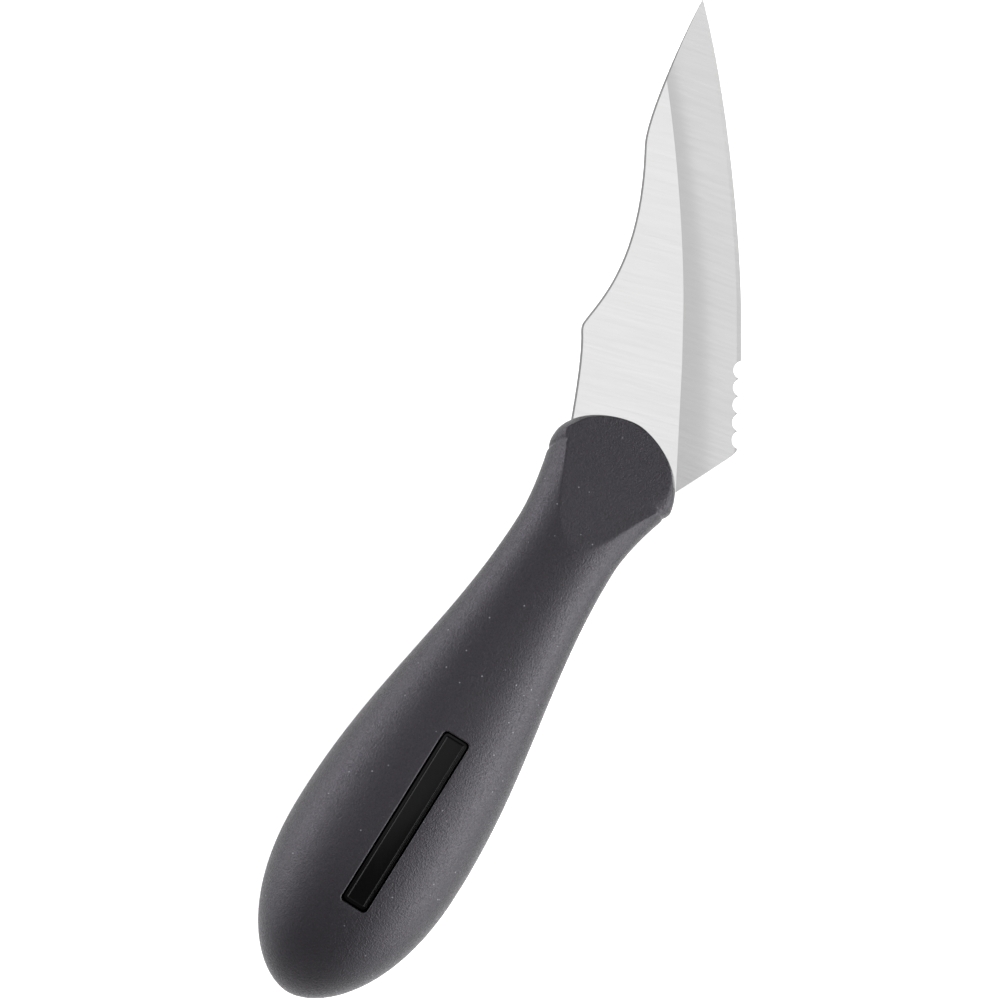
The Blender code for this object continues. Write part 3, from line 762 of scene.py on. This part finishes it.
def grinding_wheel(name, side, ground, bevel):
    """The space that grinding takes from one side of the blank. Its strip along the edge cuts the bevel."""
    line = edge_outline()
    past_heel = line[0] - (line[1] - line[0]).normalized() * GRIND_WIDTH_HEEL
    past_tip = line[-1] + (line[-1] - line[-2]).normalized() * 2 * BEVEL_WIDTH
    line = [past_heel] + line + [past_tip]
    whole = sum((b - a).length for a, b in zip(line, line[1:]))
    rings = []
    run = 0.0
    for index, foot in enumerate(line):
        before = line[max(0, index - 1)]
        after = line[min(len(line) - 1, index + 1)]
        run += (foot - before).length
        tangent = (after - before).normalized()
        inwards = Vector((-tangent.y, tangent.x))
        width = GRIND_WIDTH_HEEL + (GRIND_WIDTH_TIP - GRIND_WIDTH_HEEL) * run / whole
        rings.append(grind_ring(foot, inwards, width, side))
    wheel = loft(name, rings, [ground, bevel])
    for face in list(wheel.data.polygons)[LOFT_ENDS :: len(rings[0])]:
        face.material_index = 1
    return wheel


def scallop_comb(material):
    """One cutter with a row of round teeth along the straight edge, counted from the heel."""
    heel = edge_outline()[0]
    along = (serration_end() - heel).normalized()
    outside = Vector((along.y, -along.x))
    meeting = math.acos(SERRATION_PITCH / 2 / SERRATION_RADIUS)
    outline = []
    for number in range(SERRATION_COUNT):
        centre = heel + outside * SERRATION_OUTSET + along * (SERRATION_SETBACK + number * SERRATION_PITCH)
        start = meeting if number > 0 else 0.0
        end = math.pi - (meeting if number < SERRATION_COUNT - 1 else 0.0)
        for step in range(TOOTH_STEPS + 1):
            turn = start + (end - start) * step / TOOTH_STEPS
            if step > 0 or number == 0:
                spoke = along * math.cos(turn) + outside * math.sin(turn)
                outline.append(centre - spoke * SERRATION_RADIUS)
    outline += [outline[-1] + outside * SERRATION_PITCH, outline[0] + outside * SERRATION_PITCH]
    return plate("comb", outline, -BLADE_THICKNESS, BLADE_THICKNESS, [material])


# Surface patterns of the materials


def new_node(tree, kind, **settings):
    """A shader node with some of its settings made."""
    node = tree.nodes.new(kind)
    for setting, value in settings.items():
        setattr(node, setting, value)
    return node


def set_inputs(node, values):
    """Gives sockets of a node, by their names, plain values."""
    for socket, value in values.items():
        node.inputs[socket].default_value = value


def place_pattern(tree, turn, length, width):
    """Coordinates in which a pattern is stretched along one direction of the knife's flat side."""
    coordinates = new_node(tree, "ShaderNodeTexCoord")
    mapping = new_node(tree, "ShaderNodeMapping", vector_type="TEXTURE")
    set_inputs(mapping, {"Rotation": (0.0, 0.0, turn), "Scale": (length, width, width)})
    tree.links.new(coordinates.outputs["Object"], mapping.inputs["Vector"])
    return mapping.outputs["Vector"]


def noise(tree, vector, *, detail, roughness=0.5, distortion=0.0):
    """Soft noise at a scale of one, from zero to one."""
    pattern = new_node(tree, "ShaderNodeTexNoise")
    set_inputs(pattern, {"Scale": 1.0, "Detail": detail, "Roughness": roughness, "Distortion": distortion})
    tree.links.new(vector, pattern.inputs["Vector"])
    return pattern.outputs["Fac"]


def ranged(tree, value, start, end, low, high):
    """A value spread from one range to another and kept inside it."""
    spread = new_node(tree, "ShaderNodeMapRange", clamp=True)
    set_inputs(spread, {"From Min": start, "From Max": end, "To Min": low, "To Max": high})
    tree.links.new(value, spread.inputs["Value"])
    return spread.outputs["Result"]


def arithmetic(tree, operation, first, second):
    """Two values put together, the second of which may be a plain number."""
    node = new_node(tree, "ShaderNodeMath", operation=operation)
    tree.links.new(first, node.inputs[0])
    if isinstance(second, float):
        node.inputs[1].default_value = second
    else:
        tree.links.new(second, node.inputs[1])
    return node.outputs["Value"]


def shaded(tree, value, start, end):
    """A colour between two, by a value from zero to one. The first may also be another node's colour."""
    mix = new_node(tree, "ShaderNodeMix", data_type="RGBA")
    tree.links.new(value, mix.inputs["Factor"])
    if isinstance(start, bpy.types.NodeSocket):
        tree.links.new(start, mix.inputs["A"])
    else:
        mix.inputs["A"].default_value = (*start, 1.0)
    mix.inputs["B"].default_value = (*end, 1.0)
    return mix.outputs["Result"]


def bumped(tree, height, distance):
    """A normal that follows a height, which is one at this distance above zero."""
    bump = new_node(tree, "ShaderNodeBump")
    set_inputs(bump, {"Strength": 1.0, "Distance": distance})
    tree.links.new(height, bump.inputs["Height"])
    return bump.outputs["Normal"]


def plain_material(name, metallic, roughness):
    """A material with one shader. The caller gives it its colour and patterns."""
    made = bpy.data.materials.new(name)
    made.use_nodes = True
    shader = made.node_tree.nodes["Principled BSDF"]
    set_inputs(shader, {"Metallic": metallic, "Roughness": roughness})
    return made, made.node_tree, shader


# Materials


def brushed_steel(name, shade, roughness, grain_turn, grain_height):
    """Steel with a fine grain in one direction and faint longer wisps along it."""
    made, tree, shader = plain_material(name, 1.0, roughness)
    grain_place = place_pattern(tree, grain_turn, GRAIN_LENGTH, GRAIN_WIDTH)
    wisp_place = place_pattern(tree, grain_turn, WISP_LENGTH, WISP_WIDTH)
    cloud_place = place_pattern(tree, grain_turn, CLOUD_LENGTH, CLOUD_WIDTH)
    grain = noise(tree, grain_place, detail=3.0, roughness=0.6)
    wisps = noise(tree, wisp_place, detail=4.0, roughness=0.65, distortion=0.25)
    clouds = noise(tree, cloud_place, detail=2.0)
    mixed = arithmetic(tree, "ADD", arithmetic(tree, "MULTIPLY", grain, GRAIN_IN_TONE), wisps)
    mixed = arithmetic(tree, "ADD", mixed, arithmetic(tree, "MULTIPLY", clouds, CLOUDS_IN_TONE))
    tone = ranged(tree, mixed, *STEEL_TONE_RANGE, 0.0, 1.0)
    dark = [part * (1 - STEEL_CONTRAST) for part in shade]
    tree.links.new(shaded(tree, tone, dark, shade), shader.inputs["Base Color"])
    roughest = roughness * STEEL_ROUGHEST
    smoothest = roughness * STEEL_SMOOTHEST
    rough = ranged(tree, wisps, *STEEL_ROUGHNESS_RANGE, roughest, smoothest)
    tree.links.new(rough, shader.inputs["Roughness"])
    height = arithmetic(tree, "ADD", grain, arithmetic(tree, "MULTIPLY", wisps, WISPS_IN_HEIGHT))
    tree.links.new(bumped(tree, height, grain_height), shader.inputs["Normal"])
    return made


def soft_rubber():
    """Matte black rubber with a fine even texture and a few pale specks."""
    made, tree, shader = plain_material("soft_rubber", 0.0, RUBBER_ROUGHNESS)
    set_inputs(shader, {"IOR": RUBBER_IOR, "Specular Tint": (*RUBBER_SHINE, 1.0)})
    set_inputs(shader, {"Sheen Weight": RUBBER_SHEEN, "Sheen Roughness": RUBBER_SHEEN_ROUGHNESS})
    grain_place = place_pattern(tree, 0.0, RUBBER_GRAIN, RUBBER_GRAIN)
    grain = noise(tree, grain_place, detail=2.0, roughness=0.7)
    cells = new_node(tree, "ShaderNodeTexVoronoi", feature="F1")
    set_inputs(cells, {"Scale": 1.0})
    tree.links.new(place_pattern(tree, SPECK_TURN, SPECK_SPACING, SPECK_SPACING), cells.inputs["Vector"])
    near = ranged(tree, cells.outputs["Distance"], SPECK_CORE, SPECK_RIM, 1.0, 0.0)
    parts = new_node(tree, "ShaderNodeSeparateColor")
    tree.links.new(cells.outputs["Color"], parts.inputs["Color"])
    chosen = ranged(tree, parts.outputs["Red"], SPECK_RARITY, SPECK_RARITY + SPECK_SOFTNESS, 0.0, 1.0)
    tone = ranged(tree, grain, *RUBBER_TONE_RANGE, 0.0, 1.0)
    plain = shaded(tree, tone, RUBBER_DARK, RUBBER_LIGHT)
    speckled = shaded(tree, arithmetic(tree, "MULTIPLY", near, chosen), plain, RUBBER_SPECK)
    tree.links.new(speckled, shader.inputs["Base Color"])
    roughest = RUBBER_ROUGHNESS * (1 + RUBBER_ROUGHNESS_SPREAD)
    smoothest = RUBBER_ROUGHNESS * (1 - RUBBER_ROUGHNESS_SPREAD)
    rough = ranged(tree, grain, *RUBBER_ROUGHNESS_RANGE, roughest, smoothest)
    tree.links.new(rough, shader.inputs["Roughness"])
    tree.links.new(bumped(tree, grain, RUBBER_BUMP), shader.inputs["Normal"])
    return made


def gloss_black():
    """Glossy black moulded plastic with a slight waviness and a few finer scuffs."""
    made, tree, shader = plain_material("gloss_black", 0.0, PANEL_ROUGHNESS)
    set_inputs(shader, {"Base Color": (*PANEL_BLACK, 1.0), "Specular IOR Level": PANEL_SPECULAR})
    waves = noise(tree, place_pattern(tree, 0.0, PANEL_WAVE, PANEL_WAVE / 2), detail=1.0)
    scuff_place = place_pattern(tree, BLADE_ANGLE, SCUFF_LENGTH, SCUFF_WIDTH)
    scuffs = noise(tree, scuff_place, detail=3.0, roughness=0.6)
    rough = ranged(tree, scuffs, *SCUFF_RANGE, PANEL_ROUGHNESS, PANEL_ROUGHNESS * SCUFF_ROUGHER)
    tree.links.new(rough, shader.inputs["Roughness"])
    tree.links.new(bumped(tree, waves, PANEL_WAVE_HEIGHT), shader.inputs["Normal"])
    return made


# Pieces


def drawn_in_ring(outline, tip, inset, height):
    """The blank's outline at a height, drawn in by an inset that fades near the tip."""
    inner = grown(outline, -inset)
    ring = []
    for point, moved in zip(outline, inner):
        share = min(1.0, (point - tip).length / TIP_CLEARANCE)
        place = point.lerp(moved, share)
        ring.append((place.x, place.y, height))
    return ring


def blade_blank(flat, spine_side, heel_side):
    """The blank, blade and tang, whose sides draw in a little towards its flats. Each way has its finish."""
    outline = refined(blade_outline(), OUTLINE_STEP)
    tip = on_blade(TIP_ALONG, -TIP_DROP)
    half = BLADE_THICKNESS / 2
    levels = []
    for step in range(-SIDE_STEPS, SIDE_STEPS + 1):
        share = step / SIDE_STEPS
        levels.append((SIDE_INSET * abs(share) ** SIDE_CURVE, half * share))
    rings = [drawn_in_ring(outline, tip, inset, height) for inset, height in levels]
    blank = loft("blade_finish", rings, [flat, spine_side, heel_side])
    for face in blank.data.polygons:
        if abs(face.normal.z) > FLAT_FACE:
            face.material_index = 0
        # The spine's side takes the darkened steel, which is painted shade; the heel's side, the same sheared
        # edge, takes the brighter bevel steel
        elif face.normal.y > 0:
            face.material_index = 1
        else:
            face.material_index = 2
    return blank


def mark_zones_sharp(piece):
    """Keeps a crisp line wherever one finish of a piece meets another."""
    shape = bmesh.new()
    shape.from_mesh(piece.data)
    for edge in shape.edges:
        if len({face.material_index for face in edge.link_faces}) > 1:
            edge.smooth = False
    shape.to_mesh(piece.data)
    shape.free()


def make_blade(origin):
    """The blade and its tang: flat steel, a spine side darkened as painted shade, ground bands, fine bevels
    and the scallops.
    """
    flat = brushed_steel("satin_steel", FLAT_SHADE, FLAT_ROUGHNESS, FLAT_GRAIN_TURN, FLAT_GRAIN_HEIGHT)
    side = brushed_steel("spine_steel_painted_shade", SPINE_PAINTED_SHADE, SIDE_ROUGHNESS, BLADE_ANGLE, SIDE_GRAIN_HEIGHT)
    ground_grain = (GROUND_GRAIN_TURN, GROUND_GRAIN_HEIGHT)
    ground = brushed_steel("ground_steel", GROUND_SHADE, GROUND_ROUGHNESS, *ground_grain)
    bevel = brushed_steel("bevel_steel", BEVEL_SHADE, BEVEL_ROUGHNESS, *ground_grain)
    blade = blade_blank(flat, side, bevel)
    for name, at in (("front_hole", FRONT_PIN_AT), ("rear_hole", REAR_PIN_AT)):
        outline = circle(Vector((at, 0.0)), PIN_DIAMETER + 2 * FIT_GAP)
        combine(blade, plate(name, outline, -BLADE_THICKNESS, BLADE_THICKNESS, [side]), "DIFFERENCE")
    combine(blade, scallop_comb(bevel), "DIFFERENCE")
    wheels = grinding_wheel("wheels", 1, ground, bevel)
    join(wheels, grinding_wheel("wheel_lower", -1, ground, bevel))
    combine(blade, wheels, "DIFFERENCE")
    settle(blade, "blade", origin)
    mark_zones_sharp(blade)


def window_centre():
    """The middle of the window, as it is seen from above."""
    return Vector((BULGE_AT + WINDOW_PAST_BULGE, -WINDOW_SIDE_SHIFT))


def window_cutter():
    """The window in the rubber, wider at the very top, so that the rubber's rim is round."""
    outline = rounded_rectangle(window_centre(), WINDOW_LENGTH, WINDOW_WIDTH, WINDOW_CORNER)
    outline = refined(outline, OUTLINE_STEP)
    levels = [(0.0, BULGE_THICKNESS / 2)]
    for step in range(RIM_STEPS + 1):
        turn = math.pi / 2 * step / RIM_STEPS
        levels.append((WINDOW_RIM * (1 - math.cos(turn)), WINDOW_RIM * (1 - math.sin(turn))))
    for above in (WINDOW_RIM / 4, WINDOW_WIDTH):
        levels.append((WINDOW_RIM + WINDOW_CLEARANCE, -above))
    rings = []
    for growth, depth in levels:
        ring = grown(outline, growth)
        rings.append([(point.x, point.y, full_height(point.x, point.y, 0.0) - depth) for point in ring])
    return loft("window", rings)


def make_grip(origin):
    """The rubber skin, hollow for the core, slotted for the blade and open at the window."""
    grip = skin_body("grip_finish", 0.0, FRONT_AT, 1, [soft_rubber()])
    clear_half = BLADE_THICKNESS / 2 + FIT_GAP
    slot = plate("slot", grown(refined(blade_outline(), OUTLINE_STEP), FIT_GAP), -clear_half, clear_half)
    cavity = skin_body("cavity", GRIP_WALL - FIT_GAP, CORE_FRONT_AT + FIT_GAP, HOLLOW_COARSENESS)
    for cutter in (cavity, slot, window_cutter()):
        combine(grip, cutter, "DIFFERENCE")
    settle(grip, "soft_grip", origin)


def panel_height(along, across, inside):
    """Height of the panel's top: it follows the skin, with a rounded edge and a thin raised border."""
    height = full_height(along, across, 0.0) - WINDOW_DEPTH
    if inside < PANEL_ROUND:
        height -= PANEL_ROUND - math.sqrt(PANEL_ROUND**2 - (PANEL_ROUND - inside) ** 2)
    off_border = abs(inside - PANEL_BORDER_INSET - PANEL_BORDER_WIDTH / 2) / (PANEL_BORDER_WIDTH / 2)
    if off_border < 1:
        height += PANEL_BORDER_HEIGHT * (1 + math.cos(math.pi * off_border)) / 2
    return height


def edge_clustered(steps, part, whole):
    """Places from minus half the whole to half of it, with a share of the steps near both ends."""
    ends = [part * step / steps for step in range(steps)]
    middle = [part + (whole - 2 * part) * step / steps for step in range(steps + 1)]
    far = [whole - place for place in reversed(ends)]
    return [place - whole / 2 for place in ends + middle + far]


def panel_top():
    """The panel in the window: a rounded rectangle of fine quads, with a skirt down into the core."""
    length = WINDOW_LENGTH - 2 * FIT_GAP
    width = WINDOW_WIDTH - 2 * FIT_GAP
    centre = window_centre()
    alongs = edge_clustered(PANEL_STEPS, PANEL_EDGE_BAND, length)
    shares = edge_clustered(PANEL_STEPS, 2 * PANEL_EDGE_BAND / width, 2.0)
    points = []
    for along in alongs:
        corner = max(0.0, abs(along) - length / 2 + WINDOW_CORNER)
        half = width / 2 - WINDOW_CORNER + math.sqrt(WINDOW_CORNER**2 - corner**2)
        for share in shares:
            across = half * share
            over_x = abs(along) - length / 2 + WINDOW_CORNER
            over_y = abs(across) - width / 2 + WINDOW_CORNER
            outside = math.hypot(max(0.0, over_x), max(0.0, over_y)) + min(0.0, max(over_x, over_y))
            x, y = centre + Vector((along, across))
            points.append((x, y, panel_height(x, y, max(0.0, WINDOW_CORNER - outside))))
    rows = len(alongs)
    columns = len(shares)
    faces = []
    for row in range(rows - 1):
        for column in range(columns - 1):
            here = row * columns + column
            faces.append((here, here + 1, here + columns + 1, here + columns))
    rim = list(range(columns))
    rim += [row * columns + columns - 1 for row in range(1, rows)]
    rim += [(rows - 1) * columns + column for column in range(columns - 2, -1, -1)]
    rim += [row * columns for row in range(rows - 2, 0, -1)]
    skirt = len(points)
    points += [(x, y, z - PANEL_SKIRT) for x, y, z in (points[index] for index in rim)]
    for step, index in enumerate(rim):
        after = (step + 1) % len(rim)
        faces.append((index, rim[after], skirt + after, skirt + step))
    faces.append(tuple(range(skirt, skirt + len(rim))))
    return points, faces


def give_finish(mesh, finish):
    """Makes this the mesh's only material."""
    mesh.materials.clear()
    mesh.materials.append(finish)


def make_core_upper(solid, origin, black):
    """The solid's own upper half shell, with the top of its pad taken off and a finer panel in its place."""
    core = new_object("core_finish", solid.data.copy())
    core.data.transform(Matrix.Translation(-origin))
    give_finish(core.data, black)
    length = WINDOW_LENGTH - FIT_GAP
    width = WINDOW_WIDTH - FIT_GAP
    outline = rounded_rectangle(window_centre(), length, width, WINDOW_CORNER)
    pad_top = plate("pad_top", outline, BLADE_THICKNESS, BULGE_THICKNESS, [black])
    kept = skin_body("kept", PANEL_SKIRT, CORE_FRONT_AT, HOLLOW_COARSENESS, [black])
    combine(pad_top, kept, "DIFFERENCE")
    combine(core, pad_top, "DIFFERENCE")
    points, faces = panel_top()
    join(core, new_mesh_object("panel", points, faces, [black]))
    settle(core, "core_upper", origin)


def dress_hidden_pieces(nodes, black):
    """Gives the pieces that keep their solids' own meshes their finishes."""
    pin = brushed_steel("pin_steel", PIN_SHADE, PIN_ROUGHNESS, 0.0, SIDE_GRAIN_HEIGHT)
    finishes = {"core_lower": black, "tang_pin_front": pin, "tang_pin_rear": pin}
    for name, finish in finishes.items():
        give_finish(nodes[name].data, finish)


# Floor, light and camera


def make_floor():
    """A pale floor, which cameras and shiny surfaces see brighter than it is lit, so that it stays white."""
    surface = bpy.data.materials.new("pale_floor")
    surface.use_nodes = True
    tree = surface.node_tree
    tree.nodes.clear()
    diffuse = new_node(tree, "ShaderNodeBsdfDiffuse")
    set_inputs(diffuse, {"Color": (*FLOOR_SHADE, 1.0)})
    glow = new_node(tree, "ShaderNodeEmission")
    path = new_node(tree, "ShaderNodeLightPath")
    seen = arithmetic(tree, "ADD", path.outputs["Is Camera Ray"], path.outputs["Is Glossy Ray"])
    seen = arithmetic(tree, "ADD", seen, path.outputs["Is Transmission Ray"])
    seen = arithmetic(tree, "MINIMUM", seen, 1.0)
    tree.links.new(arithmetic(tree, "MULTIPLY", seen, FLOOR_GLOW), glow.inputs["Strength"])
    total = new_node(tree, "ShaderNodeAddShader")
    output = new_node(tree, "ShaderNodeOutputMaterial")
    tree.links.new(diffuse.outputs["BSDF"], total.inputs[0])
    tree.links.new(glow.outputs["Emission"], total.inputs[1])
    tree.links.new(total.outputs["Shader"], output.inputs["Surface"])
    mesh = bpy.data.meshes.new("floor")
    reach = FLOOR_REACH
    corners = [(-reach, -reach, 0.0), (reach, -reach, 0.0), (reach, reach, 0.0), (-reach, reach, 0.0)]
    mesh.from_pydata(corners, [], [(0, 1, 2, 3)])
    mesh.materials.append(surface)
    return new_object("floor", mesh)


def in_picture(right, up):
    """A direction along the floor, given by the picture's right and up."""
    return Matrix.Rotation(VIEW_TURN, 2) @ Vector((up, -right))


def softbox(name, place, size, lean, radiance, tint):
    """A soft light at a place over the floor, given in the picture's directions, that faces the knife."""
    light = bpy.data.lights.new(name, "AREA")
    light.shape = "RECTANGLE"
    light.size, light.size_y = size
    light.energy = radiance * math.pi * size[0] * size[1]
    light.color = tint
    lamp = new_object(name, light)
    right, up, height = place
    flat = in_picture(right, up)
    lamp.location = (flat.x, flat.y, height)
    outwards = lamp.location.normalized()
    beside = in_picture(0.0, 1.0).to_3d().cross(outwards).normalized()
    upwards = outwards.cross(beside)
    turn = Matrix((beside, upwards, outwards)).transposed() @ Matrix.Rotation(-lean, 3, "Z")
    lamp.rotation_euler = turn.to_euler()


def make_world():
    """The studio behind the soft lights: pale walls all round, which fade to a dark ceiling."""
    world = bpy.data.worlds.new("studio")
    world.use_nodes = True
    tree = world.node_tree
    directions = new_node(tree, "ShaderNodeTexCoord")
    parts = new_node(tree, "ShaderNodeSeparateXYZ")
    tree.links.new(directions.outputs["Generated"], parts.inputs["Vector"])
    rise = ranged(tree, parts.outputs["Z"], math.sin(WALL_TOP), math.sin(WALL_TOP + WALL_FADE), 0.0, 1.0)
    tree.links.new(shaded(tree, rise, WALL_SHADE, CEILING_SHADE), tree.nodes["Background"].inputs["Color"])
    bpy.context.scene.world = world


def make_camera(origin):
    """The camera straight above, turned so that the blade points up in the picture."""
    camera = bpy.data.cameras.new("camera")
    camera.sensor_width = SENSOR_WIDTH
    camera.lens = SENSOR_WIDTH * CAMERA_DISTANCE / VIEW_WIDTH
    camera.clip_end = 10 * CAMERA_DISTANCE
    eye = new_object("camera", camera)
    eye.location = origin + Vector((VIEW_STATION, VIEW_ACROSS, CAMERA_DISTANCE))
    eye.rotation_euler = (0.0, 0.0, VIEW_TURN - math.pi / 2)
    bpy.context.scene.camera = eye


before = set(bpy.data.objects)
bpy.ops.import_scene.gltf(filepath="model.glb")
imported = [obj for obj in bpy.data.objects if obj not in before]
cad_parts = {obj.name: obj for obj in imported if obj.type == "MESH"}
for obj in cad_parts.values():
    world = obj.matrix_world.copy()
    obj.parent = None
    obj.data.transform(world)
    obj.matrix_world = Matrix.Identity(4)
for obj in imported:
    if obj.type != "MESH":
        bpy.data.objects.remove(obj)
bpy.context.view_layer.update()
pin_low, pin_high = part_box("tang_pin_front")
handle_origin = (pin_low + pin_high) / 2 - Vector((FRONT_PIN_AT, 0.0, 0.0))
black_plastic = gloss_black()
make_blade(handle_origin)
make_grip(handle_origin)
make_core_upper(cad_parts["core_upper"], handle_origin, black_plastic)
dress_hidden_pieces(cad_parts, black_plastic)
make_floor()
for lamp_settings in SOFTBOXES:
    softbox(*lamp_settings)
make_world()
make_camera(handle_origin)
bpy.context.scene.view_settings.view_transform = "Standard"
